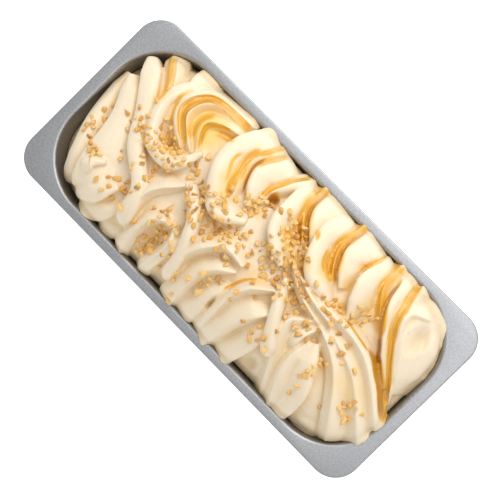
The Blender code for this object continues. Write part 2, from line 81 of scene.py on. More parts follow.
class Finish:
    # A material, and the one way to add a node to it.
    def __init__(self, name):
        self.material = bpy.data.materials.new(name)
        self.material.use_nodes = True
        self.tree = self.material.node_tree
        self.shader = self.tree.nodes["Principled BSDF"]

    def node(self, kind, settings, values, output=0):
        made = self.tree.nodes.new("ShaderNode" + kind)
        for name, setting in settings.items():
            if name == "stops":
                self.setStops(made.color_ramp.elements, setting)
            else:
                setattr(made, name, setting)
        for name, value in values.items():
            self.feed(made.inputs[name], value)
        return Wire(self, made.outputs[output])

    def feed(self, socket, value):
        if isinstance(value, Wire):
            self.tree.links.new(value.socket, socket)
        else:
            socket.default_value = value

    def setStops(self, elements, stops):
        while len(elements) < len(stops):
            elements.new(1.0)
        for element, (place, colour) in zip(elements, stops):
            element.position = place
            element.color = colour

    def surface(self, **values):
        for name, value in values.items():
            self.feed(self.shader.inputs[name.replace("_", " ")], value)

    def mix(self, first, second, share):
        return self.node("Mix", {"data_type": "RGBA"}, {0: share, 6: first, 7: second}, 2)

    def ramp(self, share, stops):
        return self.node("ValToRGB", {"stops": stops}, {"Fac": share})

    def attribute(self, name, output="Fac"):
        return self.node("Attribute", {"attribute_name": name}, {}, output)

    def stretched(self, vector, factors):
        return self.node("VectorMath", {"operation": "MULTIPLY"}, {0: vector, 1: factors})

    def noise(self, vector, scale, detail=3.0, roughness=0.5):
        return self.node("TexNoise", {}, {"Vector": vector, "Scale": scale, "Detail": detail,
                                          "Roughness": roughness})

    def place(self):
        return self.node("TexCoord", {}, {}, "Object")

    def bump(self, height, strength, distance):
        return self.node("Bump", {}, {"Height": height, "Strength": strength, "Distance": distance})


def grey(level):
    return (level, level, level, 1.0)


# Mesh tools

def addPiece(name, mesh, finish, slotName, *nodes):
    piece = bpy.data.objects.new(name, mesh)
    bpy.context.scene.collection.objects.link(piece)
    mesh.materials.clear()
    mesh.materials.append(finish.material)
    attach(piece, "root")
    if nodes:
        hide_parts(*nodes)
    return piece


def meshFrom(name, points, faces):
    mesh = bpy.data.meshes.new(name)
    mesh.from_pydata([Vector(point) * mm for point in points], [], faces)
    shape = bmesh.new()
    shape.from_mesh(mesh)
    bmesh.ops.recalc_face_normals(shape, faces=shape.faces)
    shape.to_mesh(mesh)
    shape.free()
    return mesh


def loft(rings):
    # Joins rings of equal length, one after another, and closes both ends
    count = len(rings[0])
    points = [point for ring in rings for point in ring]
    faces = []
    for ring in range(len(rings) - 1):
        for step in range(count):
            here = ring * count + step
            beside = ring * count + (step + 1) % count
            faces.append((here, beside, beside + count, here + count))
    faces.append(tuple(range(count)))
    faces.append(tuple(range(len(points) - count, len(points))))
    return points, faces


def applied(thing, kind, **settings):
    # The object's mesh with one modifier applied to it
    modifier = thing.modifiers.new(kind.lower(), kind)
    for name, value in settings.items():
        setattr(modifier, name, value)
    graph = bpy.context.evaluated_depsgraph_get()
    result = bpy.data.meshes.new_from_object(thing.evaluated_get(graph))
    thing.modifiers.clear()
    thing.data = result


def looseObject(name, mesh):
    thing = bpy.data.objects.new(name, mesh)
    bpy.context.scene.collection.objects.link(thing)
    return thing


def joinMeshes(name, meshes):
    shape = bmesh.new()
    for mesh in meshes:
        shape.from_mesh(mesh)
    joined = bpy.data.meshes.new(name)
    shape.to_mesh(joined)
    shape.free()
    return joined


def keepLargestShell(mesh):
    # Drops loose scraps and sealed hollows
    shape = bmesh.new()
    shape.from_mesh(mesh)
    unseen = set(shape.verts)
    shells = []
    while unseen:
        stack = [unseen.pop()]
        shell = list(stack)
        while stack:
            for edge in stack.pop().link_edges:
                for vert in edge.verts:
                    if vert in unseen:
                        unseen.remove(vert)
                        stack.append(vert)
                        shell.append(vert)
        shells.append(shell)
    shells.sort(key=len)
    for shell in shells[:-1]:
        bmesh.ops.delete(shape, geom=shell, context="VERTS")
    shape.to_mesh(mesh)
    shape.free()


def pointsOf(mesh):
    flat = np.empty(len(mesh.vertices) * 3, np.float32)
    mesh.vertices.foreach_get("co", flat)
    return flat.reshape(-1, 3).astype(float) / mm


def setPoints(mesh, points):
    mesh.vertices.foreach_set("co", (points * mm).astype(np.float32).ravel())
    mesh.update()


def setAttribute(mesh, name, kind, values, domain="POINT"):
    made = mesh.attributes.new(name, kind, domain)
    field = "vector" if kind == "FLOAT_VECTOR" else "value"
    made.data.foreach_set(field, np.asarray(values, np.float32).ravel())


def smoothStep(values):
    values = np.clip(values, 0, 1)
    return values * values * (3 - 2 * values)


# The pan

pan = {
    "steel": 1.0,
    "corner": 22.0,
    "opening": (337.0, 146.0),
    "openingCorner": 50.0,
    "bend": 3.0,
    "taper": 5.0,
    "floorRound": 20.0,
    "lip": ((1.8, 1.0), (0.9, 2.1), (0.8, 2.6), (0.1, 2.6), (0.0, 2.3)),  # in, and down, of the edge
    "lipRound": 1.5,
    "cornerSteps": 24,
    "bendSteps": 8,
    "sharpAngle": 50,
}
panLow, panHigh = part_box("pan")
panLength, panWidth, panHeight = (panHigh - panLow) / mm


def roundedOutline(halfLength, halfWidth, corner, height, shift=0.0, steps=pan["cornerSteps"]):
    points = []
    for quarter in range(4):
        along = 1 if quarter in (0, 3) else -1
        across = 1 if quarter in (0, 1) else -1
        for step in range(steps + 1):
            angle = math.radians(90 * (quarter + step / steps))
            points.append((shift + along * (halfLength - corner) + corner * math.cos(angle),
                           across * (halfWidth - corner) + corner * math.sin(angle), height))
    return points


def grownOpening(out, height):
    length, width = pan["opening"]
    return roundedOutline(length / 2 + out, width / 2 + out, pan["openingCorner"] + out, height)


def wallOutline(height, offset, inward=0.0):
    # The inner wall under the bend, moved out by offset and then in again
    bendFoot = panHeight - pan["bend"]
    inset = pan["taper"] * (bendFoot - height) / bendFoot - offset + inward
    return grownOpening(-inset, height)


def floorRings(offset, floor):
    radius = pan["floorRound"] + offset
    rings = []
    for step in range(pan["bendSteps"] + 1):
        angle = math.radians(90 * step / pan["bendSteps"])
        height = floor + radius * (1 - math.cos(angle))
        rings.append(wallOutline(height, offset, radius * (1 - math.sin(angle))))
    return rings


def bendRings(grow=0.0):
    # Over the bend, from the flange's top down to the wall
    rings = []
    for step in range(pan["bendSteps"] + 1):
        angle = math.radians(90 * step / pan["bendSteps"])
        out = pan["bend"] - (pan["bend"] + grow) * math.sin(angle)
        drop = pan["bend"] - (pan["bend"] + grow) * math.cos(angle)
        rings.append(grownOpening(out, panHeight - drop))
    return rings


def flangeRing(inset, drop):
    halfLength = panLength / 2 - inset
    halfWidth = panWidth / 2 - inset
    return roundedOutline(halfLength, halfWidth, pan["corner"] - inset, panHeight - drop)


def steelFinish():
    finish = Finish("satinSteel")
    place = finish.place()
    grain = finish.noise(place, 650.0, 2.0, 0.8)
    cloud = finish.noise(place, 22.0, 4.0, 0.55)
    wear = finish.noise(finish.stretched(place, (30.0, 420.0, 30.0)), 1.0, 3.0, 0.6)
    colour = finish.mix((0.30, 0.305, 0.32, 1), (0.54, 0.545, 0.56, 1), cloud * 0.3 + grain * 1.5 - 0.4)
    finish.surface(
        Base_Color=colour,
        Metallic=1.0,
        Roughness=0.34 + grain * 0.16 + wear * 0.10,
        Normal=finish.bump(grain + wear * 0.2, 0.4, 0.00016),
    )
    return finish


def buildPan():
    rings = floorRings(pan["steel"], 0.0)
    rings.append(wallOutline(panHeight - pan["bend"] - pan["steel"], pan["steel"]))
    rings.append(grownOpening(pan["bend"], panHeight - pan["steel"]))
    rings += [flangeRing(inset, drop) for inset, drop in pan["lip"]]
    for step in range(pan["bendSteps"] + 1):
        angle = math.radians(90 * step / pan["bendSteps"])
        inset = pan["lipRound"] * (1 - math.cos(angle))
        drop = pan["lipRound"] * (1 - math.sin(angle))
        rings.append(flangeRing(inset, drop))
    rings += bendRings()
    rings += reversed(floorRings(0.0, pan["steel"]))
    mesh = meshFrom("pressedPan", *loft(rings))
    mesh.shade_smooth()
    mesh.set_sharp_from_angle(angle=math.radians(pan["sharpAngle"]))
    addPiece("pressedPan", mesh, steelFinish(), "pressed_steel", "pan")
    print("pan:", len(mesh.polygons), "faces")


# The gelato's mass

mound = {
    "gap": 0.35,
    "edge": -5.0,
    "rise": 49.0,
    "power": 0.6,
    "squareness": 4.7,
    "belowFolds": 8.0,
    "shoulder": 26.0,
    "steps": ((10, 0.5), (5, 3)),  # down from the rim, and in from the opening
    "rings": (0.92, 0.86, 0.78, 0.66, 0.5, 0.3, 0.1),  # shares of the opening, from the edge inwards
    "leftEndGap": 12.0,
    "sideGap": 1.5,
    "trimDepth": 70.0,
    "trimReach": 30.0,
    "voxel": 0.85,
    "smoothings": 2,
    "smoothFactor": 0.5,
    "triangles": 196000,
    "hiddenBelow": 12.0,
    "hiddenTriangles": 14000,
}


def moundHeight(x, y):
    # Works on numbers and on arrays
    along = abs(x) / (pan["opening"][0] / 2)
    across = abs(y) / (pan["opening"][1] / 2)
    reach = (along ** mound["squareness"] + across ** mound["squareness"]) ** (1 / mound["squareness"])
    return panHeight + mound["edge"] + mound["rise"] * np.maximum(1 - reach * reach, 0.0) ** mound["power"]


def coreMesh():
    rings = floorRings(-mound["gap"], pan["steel"] + mound["gap"])
    rings.append(wallOutline(panHeight - mound["shoulder"], -mound["gap"]))
    halfLength = (pan["opening"][0] - mound["leftEndGap"] - mound["sideGap"]) / 2
    halfWidth = pan["opening"][1] / 2 - mound["sideGap"]
    corner = pan["openingCorner"]
    shift = (mound["leftEndGap"] - mound["sideGap"]) / 2
    for below, inset in mound["steps"]:
        height = panHeight - below
        rings.append(roundedOutline(halfLength - inset, halfWidth - inset, corner - inset, height, shift))
    outline = roundedOutline(halfLength, halfWidth, corner, 0, shift)
    for share in mound["rings"]:
        rings.append([(x * share, y * share, moundHeight(x * share, y * share) - mound["belowFolds"])
                      for x, y, _ in outline])
    return meshFrom("core", *loft(rings))


def panSpaceMesh():
    # What the gelato keeps out of: the wall and the flange, grown by the gap
    deep = panHeight - mound["trimDepth"]
    lowWall = wallOutline(deep, -mound["gap"])
    rings = [lowWall] + bendRings(mound["gap"])[::-1]
    rings.append(grownOpening(mound["trimReach"], panHeight + mound["gap"]))
    rings.append(grownOpening(mound["trimReach"], deep))
    points, faces = loft(rings + [lowWall])
    last = len(points) - len(lowWall)
    wrapped = [tuple(index - last if index >= last else index for index in face) for face in faces[:-2]]
    return meshFrom("panSpace", points[:last], wrapped)


# The folds. Each is a tongue laid over the one before it. A row gives its edge, which is a sharp
# crest, a round lip or, for a finger, round on both sides, and the side that edge is on; how wide
# its back is at the root and the tip, and its edge; how far it stands over the mound at the root,
# the middle and the tip; and its line.

foldShape = {
    "depth": 20.0,
    "backShares": (1.0, 0.75, 0.5, 0.3, 0.15),
    "fingerShares": (1.0, 0.97, 0.9, 0.75, 0.5, 0.25),
    "edgeShares": (0.0, 0.2, 0.4, 0.6, 0.8, 1.0),
    "lipTurns": (0, 25, 50, 70, 90),
    "backFall": 7.0,
    "backCurve": 1.6,
    "edgeFall": 9.0,
    "edgeCurve": 0.8,
    "lipDrop": 3.5,
    "overhang": 1.2,
    "skirtWidth": {"crest": 1.4, "lip": 1.4, "finger": 1.05},
    "skirtDrop": 4.0,
    "tipRound": 9.0,
    "tipShare": 0.3,
    "tipNarrow": {"crest": 0.75, "lip": 0.85, "finger": 0.98},
    "tipDrop": 6.0,
    "tipReach": 30.0,
    "tipSpread": 0.3,
    "tipFlatten": 0.5,
    "rootLength": 14.0,
    "rootWidth": 0.5,
    "rootDrop": 5.0,
    "step": 2.0,
    "flowStep": 3.0,
    "flowApart": 40.0,
    "seenBelowRim": 4.0,
    "curveParts": 16,
    "leastSteps": 6,
}

folds = {
    # The front left, by the end wall
    "endSliver": ("lip", "right", (9, 9), 6, (-6, -2, -3), ((-164, 30), (-155, -15), (-135, -65))),
    "broad": ("lip", "right", (13, 18), 5, (2, 3, 4), ((-158, 30), (-140, 0), (-132, -40), (-126, -62))),
    "broadHem": ("lip", "left", (15, 13), 4, (0, 4, 4), ((-97, -37), (-108, -56), (-124, -65))),
    "knob": ("lip", "left", (5, 5), 5, (4, 9, 8), ((-118, -30), (-127, -38), (-126, -48))),
    "lobe1": ("lip", "left", (12, 12), 4, (-3, 0, 2), ((-86, -45), (-94, -62), (-114, -76))),
    "lobe2": ("lip", "left", (10, 9), 4, (-8, -5, -1), ((-75, -50), (-80, -66), (-92, -76))),
    "ridge1": ("finger", "right", (12, 6), 5, (4, 5, 5),
               ((-158, 50), (-130, 20), (-112, -6), (-86, -26), (-78, -56))),
    "recessRim": ("crest", "left", (10, 8), 4, (4, 4, 3), ((-60, 0), (-77, -24), (-74, -56))),
    # The front middle
    "lobe3": ("crest", "left", (7, 6), 4, (3, 3, 4), ((-44, -26), (-62, -38), (-66, -76))),
    "lobe4": ("crest", "right", (6, 5), 4, (3, 3, 3), ((-46, -24), (-40, -42), (-48, -74))),
    "lobe4Lip": ("lip", "left", (7, 6), 3, (2, 2, 2), ((-35, -25), (-36, -46), (-44, -72))),
    "lobe5": ("crest", "left", (9, 9), 6, (-9, -8, -7), ((-32, -38), (-34, -55), (-36, -70))),
    "ridge2": ("finger", "right", (8, 4), 4, (4, 6, 5), ((-58, 4), (-38, -15), (-28, -40), (-26, -62))),
    "ridge2Arm": ("crest", "left", (9, 6), 4, (3, 5, 3), ((12, -12), (-8, -12), (-24, -34), (-22, -60))),
    "lobe6": ("crest", "left", (10, 9), 4, (1, 2, 4), ((12, -18), (-6, -36), (-10, -78))),
    "lobe7": ("lip", "left", (9, 9), 4, (-1, 0, 3), ((13, -28), (10, -50), (6, -77))),
    "lobe8": ("crest", "left", (6, 5), 4, (5, 4, 2), ((42, -6), (23, -27), (19, -76))),
    "lobe9": ("crest", "left", (14, 10), 4, (3, 4, 5), ((52, -20), (38, -44), (30, -80))),
    "lobe10": ("lip", "left", (12, 9), 4, (0, 1, 3), ((57, -23), (56, -50), (48, -80))),
    "ridge3": ("finger", "right", (5, 5), 5, (4, 6, 6), ((40, 6), (54, -20), (70, -46))),
    # The front right
    "lobe11": ("crest", "right", (10, 9), 5, (4, 0, -4), ((76, -2), (62, -15), (70, -38), (90, -78))),
    "lobe11Rim": ("crest", "left", (8, 6), 3, (4, 4, 1), ((86, 0), (80, -14), (79, -30))),
    "lobe12": ("crest", "right", (12, 8), 5, (2, 4, 4), ((84, -14), (83, -40), (98, -76))),
    "lobe13": ("lip", "left", (15, 12), 4, (3, 5, 4), ((90, -12), (108, -45), (111, -76))),
    "lowFold1": ("crest", "right", (8, 8), 6, (-10, -9, -8), ((112, -42), (122, -54), (136, -60))),
    "lowFold2": ("crest", "right", (8, 8), 6, (-10, -5, -3), ((108, -64), (124, -66), (142, -64))),
    "fan1": ("crest", "right", (12, 10), 6, (3, 5, 5), ((78, 0), (112, -18), (148, -62))),
    "fan2": ("crest", "right", (9, 8), 9, (3, 5, 5), ((88, 2), (126, -12), (168, -48))),
    "fan3": ("crest", "right", (6, 7), 9, (4, 6, 5), ((60, 10), (118, 6), (170, -30))),
    "twist1": ("crest", "right", (4, 3), 3, (3, 6, 3), ((34, 18), (54, 5), (85, -3))),
    "twist2": ("crest", "right", (3, 3), 3, (4, 8, 5), ((42, 15), (64, 8), (90, 4))),
    # The back, from the left: the curls, each a high rim round nested bands
    "backBand": ("crest", "left", (8, 8), 5, (-3, -1, 2), ((-124, 24), (-127, 42), (-148, 64))),
    "backFold": ("lip", "left", (10, 11), 4, (-2, 2, 3), ((-117, 46), (-115, 58), (-120, 74))),
    "curl1": ("lip", "left", (6, 6), 6, (2, 6, 3),
              ((-70, 26), (-82, 4), (-106, 8), (-119, 36), (-108, 62))),
    "curl1Outer": ("crest", "right", (7, 6), 4, (0, 2, 3), ((-84, 17), (-107, 38), (-98, 63), (-58, 68))),
    "curl1Inner": ("crest", "right", (8, 6), 4, (0, 2, 2), ((-76, 20), (-98, 38), (-92, 58), (-62, 61))),
    "curl1Heart": ("crest", "right", (8, 6), 4, (-1, 2, 2), ((-74, 24), (-84, 42), (-76, 51), (-58, 56))),
    "curl2": ("lip", "left", (9, 12), 6, (3, 8, 6), ((-10, 13), (-35, 5), (-56, 40), (-46, 78))),
    "curl2Band": ("crest", "left", (7, 7), 4, (-3, -1, 3), ((-29, 15), (-41, 45), (-34, 77))),
    "curl2Lobe": ("lip", "left", (12, 12), 4, (0, 5, 3), ((-18, 22), (-30, 46), (-24, 72))),
    "curl2End": ("crest", "left", (5, 5), 6, (0, 3, 4), ((-13, 30), (-12, 46), (1, 74))),
    "curl3": ("lip", "left", (9, 9), 5, (4, 7, 4), ((31, 9), (6, 28), (4, 68))),
    "curl3Band": ("crest", "left", (8, 8), 4, (-3, 0, 4), ((31, 29), (14, 50), (10, 78))),
    "curl3Lobe": ("lip", "left", (14, 16), 4, (0, 5, 4), ((35, 36), (22, 54), (20, 76))),
    "curl4": ("lip", "left", (9, 9), 5, (4, 8, 6), ((74, 15), (48, 22), (36, 48), (42, 72))),
    "curl4Band": ("crest", "left", (8, 8), 4, (-3, 0, 4), ((66, 24), (51, 48), (52, 79))),
    "curl4Lobe": ("lip", "left", (13, 14), 4, (0, 5, 4), ((73, 28), (59, 50), (61, 77))),
    "curl5": ("lip", "left", (11, 10), 4, (2, 8, 4), ((92, 16), (80, 45), (85, 72))),
    "curl5Band": ("crest", "left", (9, 8), 4, (-3, 2, 5), ((120, 22), (95, 50), (94, 77))),
    "curl5Ridge": ("lip", "left", (8, 8), 3, (-2, 4, 5), ((150, -2), (112, 38), (103, 75))),
    "curl5Tail": ("crest", "left", (7, 7), 4, (-3, 3, 5), ((162, -9), (122, 38), (116, 76))),
    "endLobe": ("lip", "left", (26, 20), 6, (-2, 4, 4), ((158, 0), (132, 38), (133, 73))),
    "endLobeRim": ("lip", "right", (16, 12), 6, (-2, 2, 2), ((159, 8), (154, 44), (130, 70))),
    "endLobeFold": ("crest", "right", (9, 7), 5, (3, 9, 8), ((132, 26), (123, 50), (140, 60))),
}

# Where the spatula or a finger has left a dip: its middle, its two half-widths, and its depth
hollows = {
    "frontRecess": ((-52, -46), (8, 19), 7),
    "slit": ((13, -48), (2.5, 9), 9),
    "lipShadow": ((66, -60), (7, 9), 6),
    "curlHole": ((-8, 38), (6, 6), 8),
    "endHollow": ((141, 42), (11, 17), 7),
    "caramelPool": ((-30, 9), (8, 4), 4),
}


def smoothLine(points, step):
    # Even steps along a smooth curve through the points, and how far along each step is
    knots = [np.array(point, float) for point in points]
    knots = [2 * knots[0] - knots[1]] + knots + [2 * knots[-1] - knots[-2]]
    dense = []
    for a, b, c, d in zip(knots, knots[1:], knots[2:], knots[3:]):
        for part in range(foldShape["curveParts"]):
            t = part / foldShape["curveParts"]
            dense.append(0.5 * (2 * b + (c - a) * t + (2 * a - 5 * b + 4 * c - d) * t * t
                                + (3 * b - 3 * c + d - a) * t ** 3))
    dense = np.array(dense + [knots[-2]])
    lengths = np.concatenate([[0.0], np.cumsum(np.hypot(*np.diff(dense, axis=0).T))])
    count = max(foldShape["leastSteps"], round(lengths[-1] / step))
    marks = np.linspace(0, lengths[-1], count + 1)
    return np.stack([np.interp(marks, lengths, dense[:, axis]) for axis in (0, 1)], 1), marks


def foldSection(kind, back, edge, fall):
    # Across a fold: how far towards its edge, and how high under its crest
    shape = foldShape
    if kind == "finger":
        gentle = [(-back * share, -fall * (1 - math.sqrt(1 - share * share)))
                  for share in shape["fingerShares"]]
    else:
        gentle = [(-back * share, -fall * share ** shape["backCurve"]) for share in shape["backShares"]]
    if kind == "crest":
        steep = [(edge * share, -shape["edgeFall"] * share ** shape["edgeCurve"])
                 for share in shape["edgeShares"]]
    else:
        turns = [math.radians(turn) for turn in shape["lipTurns"]]
        steep = [(edge * math.sin(turn), -shape["lipDrop"] * (1 - math.cos(turn))) for turn in turns]
        steep.append((edge - shape["overhang"], -shape["edgeFall"]))
    return [(-shape["skirtWidth"][kind] * back, -fall - shape["skirtDrop"])] + gentle + steep


def foldMesh(name, row):
    # Sweeps the section along the fold's line, sinking in at the root and round at the tip
    kind, side, backs, edge, lifts, line = row
    shape = foldShape
    spine, marks = smoothLine(line, shape["step"])
    length = marks[-1]
    toward = 1 if side == "left" else -1
    crest = np.interp(marks / length, (0, 0.5, 1), lifts)
    back = np.interp(marks / length, (0, 1), backs)
    nose = min(shape["tipRound"], length * shape["tipShare"])
    rings = []
    last = len(spine) - 1
    for index, middle in enumerate(spine):
        ahead = spine[min(index + 1, last)] - spine[max(index - 1, 0)]
        across = np.array((-ahead[1], ahead[0])) / np.hypot(*ahead) * toward
        left = length - marks[index]
        nearTip = max(1 - left / shape["tipReach"], 0.0)
        bend = max(1 - left / nose, 0.0)
        rounding = math.sqrt(1 - (shape["tipNarrow"][kind] * bend) ** 2)
        grown = min(marks[index] / shape["rootLength"], 1.0)
        begin = shape["rootWidth"] + (1 - shape["rootWidth"]) * grown
        width = rounding * begin * (1 + shape["tipSpread"] * nearTip)
        fall = shape["backFall"] * (1 - shape["tipFlatten"] * nearTip)
        drop = shape["tipDrop"] * bend * bend + shape["rootDrop"] * (1 - begin)
        ring = []
        for offset, height in foldSection(kind, back[index], edge, fall):
            x, y = middle + across * (offset * width)
            ground = max(moundHeight(x, y), panHeight)
            ring.append((x, y, ground + crest[index] + height - drop))
        low = min(point[2] for point in ring) - shape["depth"]
        ring.append((ring[-1][0], ring[-1][1], low))
        ring.append((ring[0][0], ring[0][1], low))
        rings.append(ring)
    return meshFrom(name, *loft(rings))


def pressHollows(points):
    for (x0, y0), (halfLong, halfWide), depth in hollows.values():
        reach = np.hypot((points[:, 0] - x0) / halfLong, (points[:, 1] - y0) / halfWide)
        inside = (reach < 1) & (points[:, 2] > panHeight - mound["belowFolds"])
        points[inside, 2] -= depth * (1 - reach[inside] ** 2) ** 2
    return points


def placeOnLine(spots, line):
    # How far each spot is to the left of a line, and how far along it
    nearest = np.full(len(spots), np.inf)
    across = np.zeros(len(spots))
    along = np.zeros(len(spots))
    walked = 0.0
    for start, end in zip(line[:-1], line[1:]):
        step = end - start
        length = np.hypot(*step)
        share = np.clip((spots - start) @ step / length ** 2, 0, 1)
        away = spots - start - share[:, None] * step
        distance = np.hypot(away[:, 0], away[:, 1])
        near = distance < nearest
        side = np.sign(step[0] * away[:, 1] - step[1] * away[:, 0])
        nearest[near] = distance[near]
        across[near] = (distance * side)[near]
        along[near] = walked + share[near] * length
        walked += length
    return across, along


def nearLine(points, line, reach):
    # Which points lie in the line's box, grown by reach, and not deep in the pan
    low = line.min(0) - reach
    high = line.max(0) + reach
    inside = (points[:, :2] > low).all(1) & (points[:, :2] < high).all(1)
    return np.flatnonzero(inside & (points[:, 2] > panHeight - foldShape["seenBelowRim"]))


def readFlow(points):
    # How far across and along the uppermost fold each point lies, with a number for the fold
    shape = foldShape
    flow = np.zeros((len(points), 3))
    flow[:, :2] = points[:, :2]
    highest = np.full(len(points), -np.inf)
    for number, (kind, side, backs, edge, lifts, line) in enumerate(folds.values()):
        spine, marks = smoothLine(line, shape["flowStep"])
        chosen = nearLine(points, spine, max(backs) + edge)
        across, along = placeOnLine(points[chosen, :2], spine)
        across *= 1 if side == "left" else -1
        share = along / marks[-1]
        back = np.interp(share, (0, 1), backs)
        onBack = shape["backFall"] * (np.abs(across) / back) ** shape["backCurve"]
        onEdge = shape["edgeFall"] * (np.abs(across) / edge) ** shape["edgeCurve"]
        height = np.interp(share, (0, 0.5, 1), lifts) - np.where(across < 0, onBack, onEdge)
        covers = (across < edge) & (across > -back * shape["skirtWidth"][kind])
        better = covers & (height > highest[chosen])
        winners = chosen[better]
        highest[winners] = height[better]
        flow[winners, 0] = across[better]
        flow[winners, 1] = along[better]
        flow[winners, 2] = shape["flowApart"] * (number + 1)
    return flow


# Caramel: ribbons in the curls, thin dark lines in their creases, and pale washes. The dark lines are
# deeper caramel, made darker still as painted shade in the creases. Each ribbon or line runs beside a
# fold: the fold, how far over it lies towards that fold's edge, the stretch of the fold that it follows,
# half its width, and its strength.

caramel = {
    "ribbonSink": 0.5,
    "lineSink": 0.4,
    "endFade": 9.0,
    "rootShare": 0.4,
    "rootLength": 22.0,
    "waver": 1.6,
    "waverLength": 14.0,
    "lean": 0.3,
    "core": 1.25,
    "endShare": 0.15,
    "apart": 25.0,
    "step": 1.5,
}

ribbons = {
    "backBand": ("backBand", 0, (0, 1), 5.4, 0.8),
    "backEdge": ("backFold", 6, (0, 1), 1.8, 0.8),
    "curl1Outer": ("curl1Outer", -5, (0.05, 0.5), 2.8, 0.7),
    "curl1Inside": ("curl1Outer", 3, (0, 1), 6.0, 1.0),
    "curl1Patch": ("curl1Heart", -7, (0.1, 0.6), 7.0, 0.8),
    "curl1Heart": ("curl1Heart", 1, (0, 0.9), 2.8, 0.9),
    "curl1Streak": ("curl1Heart", 6, (0.45, 1), 6.0, 0.9),
    "curl2Outer": ("curl2", -7, (0.4, 0.75), 2.6, 0.7),
    "curl2Band": ("curl2Band", 2, (0, 0.75), 5.4, 1.0),
    "curl2Top": ("curl2Band", 0, (0.55, 1), 4.4, 1.0),
    "curl2Patch": ("curl2Lobe", 3, (0.5, 1), 5.4, 1.0),
    "curl2Right": ("curl2End", 3, (0, 1), 4.0, 0.9),
    "curl2Hole": ("curl2End", -4, (0, 0.45), 5.5, 1.0),
    "curl3Band": ("curl3Band", 0, (0, 1), 9.0, 0.95),
    "curl3Foot": ("curl3", -9, (0.1, 0.5), 6.0, 0.8),
    "curl3Fleck": ("curl3Lobe", -3, (0, 0.3), 4.4, 0.9),
    "curl4Band": ("curl4Band", 0, (0, 1), 8.4, 0.95),
    "curl4Foot": ("curl4", -10, (0.2, 0.65), 4.4, 0.8),
    "curl4Stripe": ("curl5", 4, (0.5, 1), 3.2, 0.9),
    "curl4Corner": ("curl5", 4, (0.8, 1), 4.8, 0.9),
    "curl5Band": ("curl5Band", 0, (0, 1), 8.4, 0.95),
    "curl5Tail": ("curl5Tail", 2, (0.05, 1), 6.0, 0.9),
    "pool": ("fan3", -9, (0.5, 0.97), 6.5, 1.0),
    "underFan": ("fan3", -5, (0.2, 0.5), 1.8, 0.85),
    "frontStreak": ("lobe8", -7, (0.15, 0.5), 2.4, 0.85),
}

# Dark lines: deeper caramel, darkened further as painted shade in the creases and in the curl's hole
darkLines = {
    "curl1": ("curl1Outer", 6, (0.05, 0.9), 1.4, 0.85),
    "curl1Heart": ("curl1Heart", 3, (0, 0.6), 0.8, 0.6),
    "curl2": ("curl2Lobe", 6, (0.1, 0.7), 1.6, 1.0),
    "curl2Hole": ("curl2End", -5, (0.02, 0.35), 4.0, 1.0),
    "curl3": ("curl3Lobe", 5, (0, 1), 1.6, 0.9),
    "curl4": ("curl4Lobe", 5, (0, 0.95), 1.6, 0.9),
    "curl5": ("curl5Ridge", 4, (0.05, 0.95), 1.7, 0.9),
    "tail": ("curl5Tail", 0, (0, 0.95), 0.8, 0.5),
    "pool": ("fan3", -6.5, (0.45, 0.92), 4.2, 1.0),
    "backBand": ("backBand", -4, (0.3, 1), 0.8, 0.6),
    "twist": ("twist1", -2, (0.2, 0.7), 0.9, 0.8),
}

# Pale caramel spread in the cream: the middle of each wash, its two half-widths, and its strength
washes = {
    "backBand": ((-125, 36), (10, 14), 0.7),
    "curl1": ((-80, 42), (27, 25), 1.25),
    "curl1Mouth": ((-90, 14), (16, 10), 1.1),
    "curl2": ((-40, 32), (13, 22), 0.9),
    "curl2Foot": ((-35, 15), (10, 8), 0.8),
    "curl2Mouth": ((-14, 26), (10, 10), 1.1),
    "curl3": ((22, 34), (15, 20), 1.2),
    "curl3Foot": ((36, 20), (19, 13), 1.0),
    "curl4": ((57, 34), (12, 18), 0.85),
    "curl4Lobe": ((75, 34), (8, 10), 0.7),
    "curl5": ((100, 32), (16, 20), 0.7),
    "twistEnd": ((82, 18), (12, 8), 0.75),
    "twist": ((52, -4), (8, 8), 0.6),
    "middle": ((-20, -5), (22, 11), 0.6),
    "front": ((24, -10), (14, 9), 0.6),
    "recess": ((-52, -45), (10, 18), 0.5),
    "lobe13": ((102, -28), (7, 12), 0.55),
    "fan": ((128, -20), (26, 16), 0.35),
}


def besideFold(name, over, stretch):
    # The part of a fold's line within the stretch, moved over towards the fold's edge
    _, side, _, _, _, line = folds[name]
    spine, marks = smoothLine(line, caramel["step"])
    ahead = np.gradient(spine, axis=0)
    ahead /= np.hypot(ahead[:, 0], ahead[:, 1])[:, None]
    turned = np.stack([-ahead[:, 1], ahead[:, 0]], 1) * (1 if side == "left" else -1)
    waver = np.array([noise.noise((mark / caramel["waverLength"], over, marks[-1])) for mark in marks])
    share = marks / marks[-1]
    kept = (share >= stretch[0]) & (share <= stretch[1])
    return (spine + (over + caramel["waver"] * waver)[:, None] * turned)[kept]


def paintLines(points, rows):
    # Each point's share of the strongest line near it, its place across and along that line, and how
    # far it is towards the line's right
    strongest = np.zeros(len(points))
    lean = np.zeros(len(points))
    stream = np.zeros((len(points), 3))
    for number, (fold, over, stretch, half, strength) in enumerate(rows.values()):
        spine = besideFold(fold, over, stretch)
        length = np.hypot(*np.diff(spine, axis=0).T).sum()
        chosen = nearLine(points, spine, half)
        across, along = placeOnLine(points[chosen, :2], spine)
        ends = np.minimum(along, length - along) / caramel["endFade"]
        width = half * np.minimum(caramel["rootShare"] + along / caramel["rootLength"], 1)
        fade = smoothStep(caramel["endShare"] + ends)
        share = strength * fade * smoothStep(caramel["core"] * (1 - np.abs(across) / width))
        better = share > strongest[chosen]
        winners = chosen[better]
        strongest[winners] = share[better]
        lean[winners] = -across[better] / half
        stream[winners, 0] = across[better]
        stream[winners, 1] = along[better]
        stream[winners, 2] = caramel["apart"] * number
    return strongest, stream, lean


